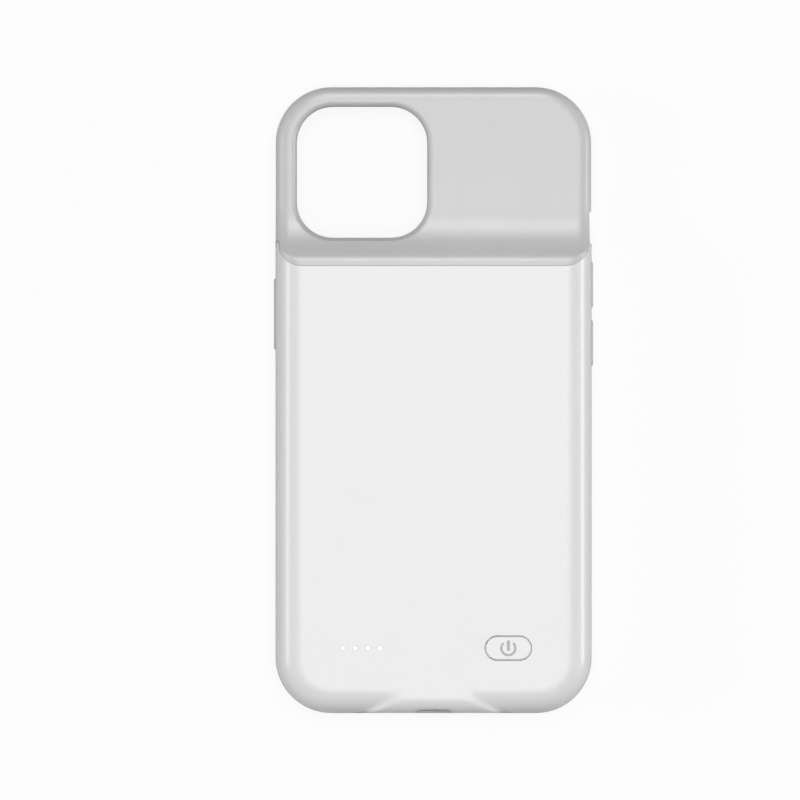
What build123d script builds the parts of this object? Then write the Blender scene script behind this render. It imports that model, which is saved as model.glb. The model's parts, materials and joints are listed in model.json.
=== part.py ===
from build123d import *
import math
import os

# Battery charging case for a phone with a 6.1 inch display.
# The case lies on the rim of its front lip: the back looks up along +Z and the
# camera end points along +Y.  Every size is in millimetres.

# The phone that the case is made for
PHONE_WIDTH = 71.5
PHONE_HEIGHT = 146.7
PHONE_DEPTH = 7.65
PHONE_CORNER = 10.55
PHONE_FIT = 0.1

# Walls of the soft bumper
SIDE_WALL = 3.15
TOP_WALL = 3.3
BOTTOM_WALL = 4.4
BACK_WALL = 1.15
LIP_DEPTH = 0.8
LIP_SIDE_REACH = 0.95
LIP_TOP_REACH = 1.1
LIP_BOTTOM_REACH = 0.6
LIP_BEVEL = 0.3
FRONT_ROUND = 2.8
EDGE_ROUND = 3.4

# Layers of the battery module, from the phone outwards
PLATE_WALL = 1.1
TAPE_DEPTH = 0.15
CELL_DEPTH = 4.7
FOAM_DEPTH = 0.5
COVER_WALL = 1.3
COVER_STEP = 0.3

# Pillow-shaped roll-off around the back
ROLL_ROUND = 6.6
ROOM_BEVEL = 3.1

# Ramp from the thick back down to the camera end
RAMP_DEGREES = 39.5
RAMP_TOE = 17.0
CREST_FROM_TOP = 42.8
CREST_ROUND = 3.8
RAMP_SKIN = 1.06
HORN_ROUND = 1.95

# Clearances between pieces
SEAM_GAP = 0.15
RIB_GAP = 0.1
SEAT_GAP = 0.05
SLIDE_GAP = 0.3

# Tongue that locks the bumper between the cover and the inner plate
RIB_WIDTH = 0.6
RIB_HEIGHT = 1.0
RIB_SHORT = 0.9

# Inner plate, its fences beside the cell and its hooks for the cover
PLATE_RIB = 0.85
PLATE_TUCK = 1.56
FENCE_HEIGHT = 1.6
FENCE_MARGIN = 6.0
SNAP_COUNT = 4
SNAP_FROM_END = 35.3
SNAP_FROM_CREST = 5.9
SNAP_LENGTH = 6.0
SNAP_DEPTH = 0.8
SNAP_REACH = 0.85
SNAP_INSET = 0.25
SNAP_BITE = 0.4
SNAP_LIFT = 0.55

# Camera opening
CAMERA_WIDTH = 32.2
CAMERA_HEIGHT = 32.4
CAMERA_CORNER = 9.0
CAMERA_FROM_SIDE = 5.25
CAMERA_FROM_TOP = 5.0
CAMERA_BEVEL = 1.0

# Key covers, ring switch slot and sound slots
KEY_WIDTH = 3.7
KEY_RAISE = 0.45
KEY_BEVEL = 0.25
KEY_GROOVE = 0.35
KEY_RELIEF = 0.9
KEY_NUB = 0.3
KEY_LIFT = 4.35
VOLUME_LENGTH = 11.4
VOLUME_FROM_TOP = (48.8, 63.25)
SIDE_KEY_LENGTH = 17.6
SIDE_KEY_FROM_TOP = 56.1
MUTE_LENGTH = 7.4
MUTE_HEIGHT = 4.6
MUTE_FROM_TOP = 34.7
SCALLOP_DEPTH = 0.55
SCALLOP_LENGTH = 8.2
SCALLOP_ROUND = 0.5
SPEAKER_LENGTH = 12.0
SPEAKER_HEIGHT = 2.6
SPEAKER_ROOM = 3.5

# Hood over the charge socket
HOOD_WIDTH = 23.0
HOOD_DEGREES = 37.0
HOOD_ROUND = 13.0
HOOD_END = 4.0

# Circuit board, its screws and its charge lights
BOARD_DEPTH = 0.8
BOARD_LIFT = 0.6
BOARD_LENGTH = 20.8
BOARD_OVERHANG = 0.4
BOARD_SIDE_ROOM = 5.4
BOARD_CORNER = 9.0
BOARD_TAB = 1.9
BOARD_TAB_MARGIN = 2.0
SCREW_DIAMETER = 1.4
SCREW_HEAD = 2.6
SCREW_HEAD_DEPTH = 0.6
SCREW_SLOT = 0.35
SCREW_BOSS = 4.2
SCREW_FLOOR = 0.5
SCREW_FROM_SIDE = 3.5
SCREW_FROM_TOP = 4.0
SCREW_FROM_END = 3.3
SCREW_LOW_X = 12.5
SMALL_SIDES = 12
LED_WIDTH = 1.6
LED_LENGTH = 0.8
LED_HEIGHT = 0.6
GUIDE_DEPTH = 0.8
GUIDE_WIDTH = 3.1
LIGHT_COUNT = 4
LIGHT_PITCH = 3.0
LIGHT_DIAMETER = 1.2
LIGHT_X = -17.7
CONTROL_FROM_END = 16.45

# Chips and passive parts, each as width, length and height, and their rows on the board
CHARGE_CHIP = (5.0, 5.0, 0.9)
CHARGE_CHIP_X = 3.5
GAUGE_CHIP = (4.0, 4.0, 0.9)
GAUGE_CHIP_X = -3.5
PORT_CHIP = (5.0, 3.9, 1.2)
PORT_CHIP_X = 10.0
INDUCTOR = (6.6, 6.6, 2.8)
INDUCTOR_X = -5.0
INDUCTOR_BEVEL = 0.8
CAPACITOR = (2.0, 1.25, 1.2)
CAPACITOR_PITCH = 2.0
CAPACITOR_TOP_X = 8.3
CAPACITOR_LOW_X = -8.0
CAPACITOR_ROW_XS = (0.5, 3.25, 6.0)
TOP_ROW = 5.6
MIDDLE_ROW = 10.0
LOW_ROW = 3.4

# Power button and its switch
BUTTON_X = 18.27
BUTTON_LENGTH = 11.06
BUTTON_WIDTH = 5.68
BUTTON_RAISE = 0.2
BUTTON_BEVEL = 0.2
BUTTON_FLANGE = 0.7
BUTTON_LEDGE = 1.4
BUTTON_TRAVEL = 0.3
SWITCH_SIZE = 4.0
SWITCH_HEIGHT = 1.8
PLUNGER_DIAMETER = 1.8
PLUNGER_RAISE = 0.5
PLUNGER_LENGTH = 1.3

# Charge socket
SOCKET_WIDTH = 8.94
SOCKET_HEIGHT = 3.16
SOCKET_LENGTH = 6.55
SOCKET_WALL = 0.3
SOCKET_SETBACK = 1.1
SOCKET_STOP = 1.4
TONGUE_WIDTH = 6.69
TONGUE_DEPTH = 0.7
TONGUE_SETBACK = 0.9
CONTACT_LENGTH = 3.4
CONTACT_WIDTH = 0.25
CONTACT_DEPTH = 0.05
CONTACT_PITCH = 0.5
CONTACT_COUNT = 12
CONTACT_SETBACK = 0.4

# Battery cell, its protection board and its leads
CELL_SIDE_ROOM = 4.4
CELL_END_ROOM = 2.36
CELL_GAP = 0.8
CELL_BEVEL = 1.0
TERRACE_LENGTH = 4.2
TERRACE_MARGIN = 3.0
TERRACE_DEPTH = 0.3
TAB_WIDTH = 4.0
TAB_XS = (-16.0, 16.0)
GUARD_WIDTH = 44.0
GUARD_DEPTH = 0.6
GUARD_MARGIN = 0.5
GUARD_CHIP = (3.0, 2.4, 0.8)
GUARD_CHIP_XS = (-5.0, 0.5)
TAPE_MARGIN = 4.0
FOAM_MARGIN = 7.0
FOAM_SHIFT = 2.0
LEAD_X = 10.5
LEAD_DIAMETER = 0.9
LEAD_START = 2.2
LEAD_REST = 2.4
LEAD_BEND = 1.35

# Plug that enters the phone, its board and its flat cable
PLUG_WIDTH = 6.7
PLUG_DEPTH = 1.5
PLUG_LENGTH = 6.65
PLUG_ROOT = 1.6
PLUG_EDGE = 0.6
PLUG_TIP = 0.45
PLUG_PINS = 8
PLUG_PITCH = 0.68
PLUG_PIN_WIDTH = 0.42
PLUG_PIN_LENGTH = 2.6
PLUG_PIN_REACH = 4.1
PLUG_BLOCK_WIDTH = 15.0
PLUG_BOARD_WIDTH = 20.0
PLUG_BOARD_DEPTH = 0.8
PLUG_SKIN = 1.4
PLUG_STEP = 0.6
FLEX_WIDTH = 7.0
FLEX_DEPTH = 0.2
FLEX_BEND = 0.5
FLEX_OVERLAP = 1.0

# Sizes that follow from the ones above
POCKET_WIDTH = PHONE_WIDTH + 2 * PHONE_FIT
POCKET_HEIGHT = PHONE_HEIGHT + 2 * PHONE_FIT
POCKET_Y = (BOTTOM_WALL - TOP_WALL) / 2
POCKET_END = POCKET_Y - POCKET_HEIGHT / 2
CASE_WIDTH = POCKET_WIDTH + 2 * SIDE_WALL
CASE_HEIGHT = POCKET_HEIGHT + TOP_WALL + BOTTOM_WALL
CASE_CORNER = PHONE_CORNER + PHONE_FIT + SIDE_WALL
CASE_TOP = CASE_HEIGHT / 2
FAR = CASE_HEIGHT
LIP_WIDTH = POCKET_WIDTH - 2 * LIP_SIDE_REACH
LIP_TOP = POCKET_Y + POCKET_HEIGHT / 2 - LIP_TOP_REACH
LIP_BOTTOM = POCKET_END + LIP_BOTTOM_REACH

# Levels of the layers
SEAM_Z = LIP_DEPTH + PHONE_DEPTH + PHONE_FIT
BACK_Z = SEAM_Z + BACK_WALL
PLATE_Z = SEAM_Z + PLATE_WALL
FOOT_Z = SEAM_Z + HORN_ROUND
CELL_Z = PLATE_Z + TAPE_DEPTH
CELL_TOP_Z = CELL_Z + CELL_DEPTH
CEILING_Z = CELL_TOP_Z + FOAM_DEPTH
COVER_Z = CEILING_Z + COVER_WALL
CASE_DEPTH = COVER_Z + COVER_STEP
SNAP_Z = PLATE_Z + SNAP_LIFT
HOOK_Z = SNAP_Z + SNAP_DEPTH + RIB_GAP
KEY_Z = LIP_DEPTH + KEY_LIFT
PLUG_Z = LIP_DEPTH + (PHONE_DEPTH + PHONE_FIT) / 2
RAMP_ANGLE = math.radians(RAMP_DEGREES)
HOOD_ANGLE = math.radians(HOOD_DEGREES)

# Insets of the cover, the tongue and the inner plate
COVER_END = COVER_STEP - CASE_TOP
COVER_INSIDE = COVER_STEP + COVER_WALL
RIB_INSET = COVER_INSIDE + RIB_GAP
PLATE_INSET = RIB_INSET + RIB_WIDTH + RIB_GAP
PLATE_HALF = CASE_WIDTH / 2 - PLATE_INSET

# Places along the case, and across it
CREST_Y = CASE_TOP - CREST_FROM_TOP
RIB_END = CREST_Y - RIB_SHORT
CAMERA_X = CAMERA_FROM_SIDE + (CAMERA_WIDTH - CASE_WIDTH) / 2
CAMERA_Y = CASE_TOP - CAMERA_FROM_TOP - CAMERA_HEIGHT / 2
KEYS = [(1, CASE_TOP - y, VOLUME_LENGTH) for y in VOLUME_FROM_TOP]
KEYS.append((-1, CASE_TOP - SIDE_KEY_FROM_TOP, SIDE_KEY_LENGTH))
MUTE_Y = CASE_TOP - MUTE_FROM_TOP
SPEAKER_X = (PLUG_BOARD_WIDTH + SPEAKER_LENGTH) / 2 + SPEAKER_ROOM
CONTROL_Y = CONTROL_FROM_END - CASE_TOP
LIGHT_SPOTS = [(LIGHT_X + (i - (LIGHT_COUNT - 1) / 2) * LIGHT_PITCH, CONTROL_Y) for i in range(LIGHT_COUNT)]
SNAP_FIRST = SNAP_FROM_END - CASE_TOP
SNAP_PITCH = (CREST_Y - SNAP_FROM_CREST - SNAP_FIRST) / (SNAP_COUNT - 1)
SNAP_YS = [SNAP_FIRST + i * SNAP_PITCH for i in range(SNAP_COUNT)]

# Places of the board and the socket
BOARD_Z = PLATE_Z + BOARD_LIFT
BOARD_TOP = BOARD_Z + BOARD_DEPTH
BOARD_END = POCKET_END - BOARD_OVERHANG
BOARD_TOP_Y = BOARD_END + BOARD_LENGTH
BOARD_WIDTH = CASE_WIDTH - 2 * (COVER_INSIDE + BOARD_SIDE_ROOM)
SCREW_X = BOARD_WIDTH / 2 - SCREW_FROM_SIDE
SCREW_SPOTS = [(side * SCREW_X, BOARD_TOP_Y - SCREW_FROM_TOP) for side in (-1, 1)]
SCREW_SPOTS += [(side * SCREW_LOW_X, BOARD_END + SCREW_FROM_END) for side in (-1, 1)]
SCREW_TIP = SEAM_Z + SCREW_FLOOR
SOCKET_Z = BOARD_TOP + SOCKET_HEIGHT / 2
SOCKET_MOUTH = COVER_END + SOCKET_SETBACK
SOCKET_BACK = SOCKET_MOUTH + SOCKET_LENGTH
PLUNGER_TOP = BOARD_TOP + SWITCH_HEIGHT + PLUNGER_RAISE
PLUNGER_FOOT = PLUNGER_TOP - PLUNGER_LENGTH
BUTTON_SPOT = [(BUTTON_X, CONTROL_Y)]
TOP_ROW_Y = BOARD_TOP_Y - TOP_ROW
LOW_ROW_Y = SOCKET_BACK + LOW_ROW
CAPACITOR_SPOTS = [(x, BOARD_TOP_Y - MIDDLE_ROW) for x in CAPACITOR_ROW_XS]
for step in (-CAPACITOR_PITCH / 2, CAPACITOR_PITCH / 2):
    CAPACITOR_SPOTS += [(CAPACITOR_TOP_X, TOP_ROW_Y + step), (CAPACITOR_LOW_X, LOW_ROW_Y + step)]

# Places of the plug
PLUG_FLOOR = LIP_DEPTH + PLUG_STEP
PLUG_BACK = PLUG_SKIN - CASE_TOP
PLUG_MID = PLUG_BACK + SEAT_GAP + PLUG_BOARD_DEPTH
STANDING = (Align.CENTER, Align.CENTER, Align.MIN)


def ramp_y(z, behind=0.0):
    """Where the ramp's plane stands at height z, moved `behind` mm into the case."""
    return CREST_Y + (CASE_DEPTH - z) / math.tan(RAMP_ANGLE) - behind / math.sin(RAMP_ANGLE)


# Ends that follow from the ramp, and the cell that fills the room before it
PLATE_END = ramp_y(SEAM_Z, RAMP_SKIN) - HORN_ROUND / math.tan(RAMP_ANGLE / 2) + PLATE_TUCK
CELL_WIDTH = CASE_WIDTH - 2 * (COVER_INSIDE + CELL_SIDE_ROOM)
CELL_END = BOARD_TOP_Y + CELL_GAP + TERRACE_LENGTH
CELL_LENGTH = ramp_y(CELL_TOP_Z, RAMP_SKIN + SEAM_GAP + COVER_WALL) - CELL_END_ROOM - CELL_END
CELL_Y = CELL_END + CELL_LENGTH / 2
TERRACE_END = CELL_END - TERRACE_LENGTH
TERRACE_Z = CELL_Z + CELL_DEPTH / 2
TERRACE_HALF = CELL_WIDTH / 2 - TERRACE_MARGIN
TAB_Z = TERRACE_Z + TAPE_DEPTH
GUARD_Z = TAB_Z + GUARD_DEPTH


def case_outline(inset, mode=Mode.ADD):
    """The case's plan outline, drawn `inset` mm inside the outermost one."""
    return RectangleRounded(CASE_WIDTH - 2 * inset, CASE_HEIGHT - 2 * inset, CASE_CORNER - inset, mode=mode)


def block(low, high, mode=Mode.ADD):
    """A plain box from its low corner to its high corner, in the current part."""
    size = [b - a for a, b in zip(low, high)]
    middle = tuple((a + b) / 2 for a, b in zip(low, high))
    with Locations(middle):
        return Box(*size, mode=mode)


def small_rounds(diameter, spots, low_z, high_z, mode=Mode.ADD):
    """Repeated small round posts or holes in the current part, drawn with few sides."""
    with BuildSketch(Plane.XY.offset(low_z)) as rounds:
        with Locations(*spots):
            RegularPolygon(diameter / 2, SMALL_SIDES)
    return extrude(rounds.sketch, amount=high_z - low_z, mode=mode)


def across_case(points, rounds=()):
    """A prism that runs across the case, from an outline in Y and Z whose named corners are rounded."""
    with BuildPart() as prism:
        with BuildSketch(Plane.YZ) as outline:
            Polygon(*points, align=None)
            for corner, radius in rounds:
                fillet(outline.vertices().sort_by_distance(corner)[:1], radius)
        extrude(amount=CASE_WIDTH, both=True)
    return prism.part


def pillow(inset):
    """The block with a rolled-off back, every face `inset` mm inside the outermost one."""
    with BuildPart() as body:
        with BuildSketch(Plane.XY):
            case_outline(inset)
        extrude(amount=CASE_DEPTH - inset)
        fillet(body.faces().sort_by(Axis.Z)[-1].edges(), radius=ROLL_ROUND - inset)
    return body.part


def envelope(inset):
    """The pillow cut along the ramp and the thin camera end, with the rim of that cut rounded."""
    flat_z = BACK_Z - inset
    top_z = CASE_DEPTH - inset
    toe = (ramp_y(flat_z, inset), flat_z)
    crest = (ramp_y(top_z, inset), top_z)
    points = [(FAR, -CASE_DEPTH), (FAR, flat_z), toe, crest, (-FAR, top_z), (-FAR, -CASE_DEPTH)]
    rounds = [(toe, RAMP_TOE + inset), (crest, CREST_ROUND - inset)]
    with BuildPart() as ramp:
        with BuildSketch(Plane.XY):
            case_outline(inset)
        extrude(amount=CASE_DEPTH)
        add(across_case(points, rounds), mode=Mode.INTERSECT)
        upper = [face for face in ramp.faces() if face.normal_at().Z > 0.1]
        edges = [edge for face in upper for edge in face.edges()]
        rim = [edge for edge in edges if sum(edge.is_same(other) for other in edges) == 1]
        fillet(rim, radius=EDGE_ROUND - inset)
    with BuildPart() as body:
        add(pillow(inset))
        add(ramp.part, mode=Mode.INTERSECT)
    return body.part


def cover_region(inset, rounded):
    """The room of the hard cover: above the seam and behind the ramp's skin."""
    high_z = 2 * CASE_DEPTH
    behind = RAMP_SKIN + inset
    crest = (ramp_y(high_z, behind), high_z)
    if rounded:
        foot = (ramp_y(SEAM_Z, behind), SEAM_Z)
        return across_case([(-FAR, SEAM_Z), foot, crest, (-FAR, high_z)], [(foot, HORN_ROUND)])
    foot = (ramp_y(0, behind), 0)
    return across_case([(-FAR, 0), foot, crest, (-FAR, high_z)])


def port_hood(inset):
    """Hood over the charge socket, `inset` mm inside its skin: soft flanks and a rolled-off end."""
    top_z = COVER_Z - inset
    base_z = CASE_DEPTH - ROLL_ROUND
    half = HOOD_WIDTH / 2 - inset * math.tan(HOOD_ANGLE / 2)
    wide = half + (top_z - base_z) / math.tan(HOOD_ANGLE)
    right = [(wide, 0), (wide, base_z), (half, top_z)]
    left = [(-x, z) for x, z in reversed(right)]
    with BuildPart() as hood:
        with BuildSketch(Plane.XZ.offset(-COVER_END - inset)) as outline:
            Polygon(*right, *left, align=None)
            corners = outline.vertices().filter_by_position(Axis.Y, top_z - 0.01, top_z + 0.01)
            fillet(corners, HOOD_ROUND - inset)
        extrude(amount=-2 * ROLL_ROUND)
        end = (COVER_END + inset, top_z)
        points = [(end[0], 0), end, (0, top_z), (0, 0)]
        add(across_case(points, [(end, HOOD_END - inset)]), mode=Mode.INTERSECT)
    return hood.part


os.makedirs("parts", exist_ok=True)

# Soft bumper: walls, front lip, upper back, ramp skin and moulded key covers
with BuildPart() as bumper:
    add(envelope(0))
    fillet(bumper.faces().sort_by(Axis.Z)[0].edges(), radius=FRONT_ROUND)
    add(cover_region(0, True), mode=Mode.SUBTRACT)

    # tongue around the rim, as far as the ramp
    with BuildSketch(Plane.XY.offset(SEAM_Z)):
        case_outline(RIB_INSET)
        case_outline(RIB_INSET + RIB_WIDTH, Mode.SUBTRACT)
        with Locations((0, RIB_END + FAR / 2)):
            Rectangle(FAR, FAR, mode=Mode.SUBTRACT)
    extrude(amount=RIB_HEIGHT)

    # pocket for the phone, the opening in front of its display, and the inner plate's seat
    with BuildSketch(Plane.XY.offset(LIP_DEPTH)):
        with Locations((0, POCKET_Y)):
            RectangleRounded(POCKET_WIDTH, POCKET_HEIGHT, PHONE_CORNER + PHONE_FIT)
    extrude(amount=SEAM_Z - LIP_DEPTH, mode=Mode.SUBTRACT)
    with BuildSketch(Plane.XY):
        with Locations((0, (LIP_TOP + LIP_BOTTOM) / 2)):
            RectangleRounded(LIP_WIDTH, LIP_TOP - LIP_BOTTOM, PHONE_CORNER - LIP_SIDE_REACH)
    extrude(amount=LIP_DEPTH, mode=Mode.SUBTRACT)
    chamfer(bumper.faces().sort_by(Axis.Z)[0].inner_wires()[0].edges(), length=LIP_BEVEL)
    seat = PLATE_HALF + SEAT_GAP
    block((-seat, 0, SEAM_Z), (seat, PLATE_END + SEAT_GAP, PLATE_Z + SEAT_GAP), Mode.SUBTRACT)

    # camera opening, with its rim bevelled
    with BuildSketch(Plane.XY.offset(LIP_DEPTH + PHONE_DEPTH)):
        with Locations((CAMERA_X, CAMERA_Y)):
            RectangleRounded(CAMERA_WIDTH, CAMERA_HEIGHT, CAMERA_CORNER)
    extrude(amount=CASE_DEPTH, mode=Mode.SUBTRACT)
    reach_x = CAMERA_WIDTH / 2 + 0.01
    reach_y = CAMERA_HEIGHT / 2 + 0.01
    rim = bumper.edges().filter_by_position(Axis.X, CAMERA_X - reach_x, CAMERA_X + reach_x)
    rim = rim.filter_by_position(Axis.Y, CAMERA_Y - reach_y, CAMERA_Y + reach_y)
    rim = rim.filter_by_position(Axis.Z, BACK_Z - 0.01, CASE_DEPTH).filter_by(Axis.Z, reverse=True)
    chamfer(rim, length=CAMERA_BEVEL)

    # key covers: a groove, a raised pad, and a relief with a nub behind it
    for side, y, length in KEYS:
        outside = Plane((side * CASE_WIDTH / 2, y, KEY_Z), x_dir=(0, 1, 0), z_dir=(side, 0, 0))
        inside = outside.offset(-SIDE_WALL)
        with BuildSketch(outside):
            SlotOverall(length + 2 * KEY_GROOVE, KEY_WIDTH + 2 * KEY_GROOVE)
        extrude(amount=-KEY_GROOVE, mode=Mode.SUBTRACT)
        with BuildSketch(outside.offset(-KEY_GROOVE)):
            SlotOverall(length, KEY_WIDTH)
        extrude(amount=KEY_GROOVE + KEY_RAISE)
        pads = bumper.faces().filter_by(Axis.X).filter_by_position(Axis.Y, y - 0.1, y + 0.1)
        chamfer(pads.sort_by(Axis.X)[-1 if side > 0 else 0].edges(), length=KEY_BEVEL)
        with BuildSketch(inside):
            Rectangle(length, KEY_WIDTH)
        extrude(amount=KEY_RELIEF, mode=Mode.SUBTRACT)
        with BuildSketch(inside.offset(KEY_NUB)):
            Rectangle(length - KEY_WIDTH, KEY_WIDTH / 2)
        extrude(amount=KEY_RELIEF - KEY_NUB)

    # scallop and slot at the ring switch
    with BuildSketch(Plane.XY):
        with Locations((CASE_WIDTH / 2, MUTE_Y)):
            RectangleRounded(2 * SCALLOP_DEPTH, SCALLOP_LENGTH, SCALLOP_ROUND)
    extrude(amount=CASE_DEPTH, mode=Mode.SUBTRACT)
    with BuildSketch(Plane((POCKET_WIDTH / 2, MUTE_Y, KEY_Z), x_dir=(0, 1, 0), z_dir=(1, 0, 0))):
        SlotOverall(MUTE_LENGTH, MUTE_HEIGHT)
    extrude(amount=SIDE_WALL, mode=Mode.SUBTRACT)

    # sound slots and the pocket for the plug block, in the bottom wall
    with BuildSketch(Plane.XZ.offset(CASE_TOP)):
        with Locations((-SPEAKER_X, PLUG_Z), (SPEAKER_X, PLUG_Z)):
            SlotOverall(SPEAKER_LENGTH, SPEAKER_HEIGHT)
    extrude(amount=-BOTTOM_WALL, mode=Mode.SUBTRACT)
    wide = PLUG_BOARD_WIDTH / 2 + SEAT_GAP
    narrow = PLUG_BLOCK_WIDTH / 2 + SEAT_GAP
    high = SEAM_Z + RIB_HEIGHT
    block((-wide, PLUG_BACK, PLUG_FLOOR), (wide, PLUG_MID + SEAT_GAP, high), Mode.SUBTRACT)
    block((-narrow, PLUG_BACK, PLUG_FLOOR), (narrow, POCKET_END, high), Mode.SUBTRACT)
bumper.part.label = "bumper"
export_step(bumper.part, "parts/bumper.step")

# Room inside the hard cover
with BuildPart() as cover_room:
    with BuildSketch(Plane.XY):
        case_outline(COVER_INSIDE)
    extrude(amount=CEILING_Z)
    chamfer(cover_room.faces().sort_by(Axis.Z)[-1].edges(), length=ROOM_BEVEL)
    add(cover_region(SEAM_GAP + COVER_WALL, False), mode=Mode.INTERSECT)
    seat = PLATE_HALF + SEAT_GAP
    block((-seat, 0, 0), (seat, PLATE_END + COVER_WALL, FOOT_Z))
    add(port_hood(COVER_WALL))

# Hard cover over the battery module
with BuildPart() as battery_cover:
    add(envelope(COVER_STEP))
    add(port_hood(0))
    add(cover_region(SEAM_GAP, True), mode=Mode.INTERSECT)
    add(cover_room.part, mode=Mode.SUBTRACT)
    with BuildSketch(Plane.XY.offset(CEILING_Z)):
        with Locations((BUTTON_X, CONTROL_Y)):
            SlotOverall(BUTTON_LENGTH + 2 * SLIDE_GAP, BUTTON_WIDTH + 2 * SLIDE_GAP)
    extrude(amount=CASE_DEPTH, mode=Mode.SUBTRACT)
    small_rounds(LIGHT_DIAMETER + 2 * SEAT_GAP, LIGHT_SPOTS, CEILING_Z, CASE_DEPTH, Mode.SUBTRACT)
    with BuildSketch(Plane.XZ.offset(-COVER_END)):
        with Locations((0, SOCKET_Z)):
            SlotOverall(SOCKET_WIDTH + 2 * SEAM_GAP, SOCKET_HEIGHT + 2 * SEAM_GAP)
    extrude(amount=-HOOD_END, mode=Mode.SUBTRACT)
    # ledges that the inner plate's hooks hold
    wall_x = CASE_WIDTH / 2 - COVER_INSIDE
    for y in SNAP_YS:
        for side in (-1, 1):
            near = side * (wall_x - SNAP_REACH)
            far = side * (wall_x + COVER_WALL / 2)
            low = (min(near, far), y - SNAP_LENGTH / 2, SNAP_Z)
            high = (max(near, far), y + SNAP_LENGTH / 2, SNAP_Z + SNAP_DEPTH)
            block(low, high)
battery_cover.part.label = "battery_cover"
export_step(battery_cover.part, "parts/battery_cover.step")

# Inner plate that closes the module towards the phone
with BuildPart() as inner_plate:
    with BuildSketch(Plane.XY.offset(SEAM_Z)):
        case_outline(PLATE_INSET)
        with Locations((0, PLATE_END + FAR / 2)):
            Rectangle(FAR, FAR, mode=Mode.SUBTRACT)
    extrude(amount=PLATE_WALL)
    # end rib under the cover's sloping wall, and fences that hold the cell in place
    edge = PLATE_HALF - SEAT_GAP
    block((-edge, PLATE_END - PLATE_RIB, PLATE_Z), (edge, PLATE_END, FOOT_Z - SEAT_GAP))
    for side in (-1, 1):
        with Locations((side * (CELL_WIDTH + PLATE_RIB + 2 * SLIDE_GAP) / 2, CELL_Y, PLATE_Z)):
            Box(PLATE_RIB, CELL_LENGTH - 2 * FENCE_MARGIN, FENCE_HEIGHT, align=STANDING)
    # hooks that hold the cover
    for y in SNAP_YS:
        for side in (-1, 1):
            with Locations((side * (PLATE_HALF - SNAP_INSET - PLATE_RIB / 2), y, PLATE_Z)):
                Box(PLATE_RIB, SNAP_LENGTH, HOOK_Z + SNAP_DEPTH - PLATE_Z, align=STANDING)
            with Locations((side * (PLATE_HALF - SNAP_INSET - (PLATE_RIB - SNAP_BITE) / 2), y, HOOK_Z)):
                Box(PLATE_RIB + SNAP_BITE, SNAP_LENGTH, SNAP_DEPTH, align=STANDING)
    # bosses for the board screws
    small_rounds(SCREW_BOSS, SCREW_SPOTS, PLATE_Z, BOARD_Z)
    small_rounds(SCREW_DIAMETER + 2 * SEAT_GAP, SCREW_SPOTS, SCREW_TIP, BOARD_Z, Mode.SUBTRACT)
inner_plate.part.label = "inner_plate"
export_step(inner_plate.part, "parts/inner_plate.step")

# Pouch cell with its folded end
with BuildPart() as battery_cell:
    with Locations((0, CELL_Y, CELL_Z)):
        Box(CELL_WIDTH, CELL_LENGTH, CELL_DEPTH, align=STANDING)
    chamfer(battery_cell.edges().filter_by(Axis.Y), length=CELL_BEVEL)
    low = (-TERRACE_HALF, TERRACE_END, TERRACE_Z - TERRACE_DEPTH)
    block(low, (TERRACE_HALF, CELL_END, TERRACE_Z))
battery_cell.part.label = "battery_cell"
export_step(battery_cell.part, "parts/battery_cell.step")

# Nickel tabs of the cell
with BuildPart() as cell_tabs:
    for x in TAB_XS:
        block((x - TAB_WIDTH / 2, TERRACE_END, TERRACE_Z), (x + TAB_WIDTH / 2, CELL_END - GUARD_MARGIN, TAB_Z))
cell_tabs.part.label = "cell_tabs"
export_step(cell_tabs.part, "parts/cell_tabs.step")

# Protection board on the cell's folded end
with BuildPart() as protection_board:
    low = (-GUARD_WIDTH / 2, TERRACE_END + GUARD_MARGIN, TAB_Z)
    block(low, (GUARD_WIDTH / 2, CELL_END - GUARD_MARGIN, GUARD_Z))
protection_board.part.label = "protection_board"
export_step(protection_board.part, "parts/protection_board.step")

# Switching transistors of the protection board
with BuildPart() as protection_chips:
    with Locations(*[(x, (TERRACE_END + CELL_END) / 2, GUARD_Z) for x in GUARD_CHIP_XS]):
        Box(*GUARD_CHIP, align=STANDING)
protection_chips.part.label = "protection_chips"
export_step(protection_chips.part, "parts/protection_chips.step")

# Double-sided tape under the cell
with BuildPart() as cell_tape:
    with Locations((0, CELL_Y, PLATE_Z)):
        Box(CELL_WIDTH - 2 * TAPE_MARGIN, CELL_LENGTH - 2 * TAPE_MARGIN, TAPE_DEPTH, align=STANDING)
cell_tape.part.label = "cell_tape"
export_step(cell_tape.part, "parts/cell_tape.step")

# Foam sheet between the cell and the cover
with BuildPart() as cell_foam:
    with Locations((0, CELL_Y - FOAM_SHIFT, CELL_TOP_Z)):
        Box(CELL_WIDTH - 2 * FOAM_MARGIN, CELL_LENGTH - 2 * FOAM_MARGIN, FOAM_DEPTH, align=STANDING)
cell_foam.part.label = "cell_foam"
export_step(cell_foam.part, "parts/cell_foam.step")


def battery_lead(x):
    """A lead from the protection board down to the main board."""
    radius = LEAD_DIAMETER / 2
    high_z = GUARD_Z + radius
    low_z = BOARD_TOP + radius
    start = TERRACE_END + LEAD_START
    bend = TERRACE_END - GUARD_MARGIN
    foot = bend - (high_z - low_z)
    with BuildPart() as lead:
        with BuildLine() as path:
            points = [(x, start, high_z), (x, bend, high_z), (x, foot, low_z), (x, foot - LEAD_REST, low_z)]
            FilletPolyline(*points, radius=LEAD_BEND)
        with BuildSketch(Plane((x, start, high_z), x_dir=(1, 0, 0), z_dir=(0, -1, 0))):
            RegularPolygon(radius, SMALL_SIDES)
        sweep(path=path.wire())
    return lead.part


with BuildPart() as lead_positive:
    add(battery_lead(LEAD_X))
lead_positive.part.label = "lead_positive"
export_step(lead_positive.part, "parts/lead_positive.step")

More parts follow.
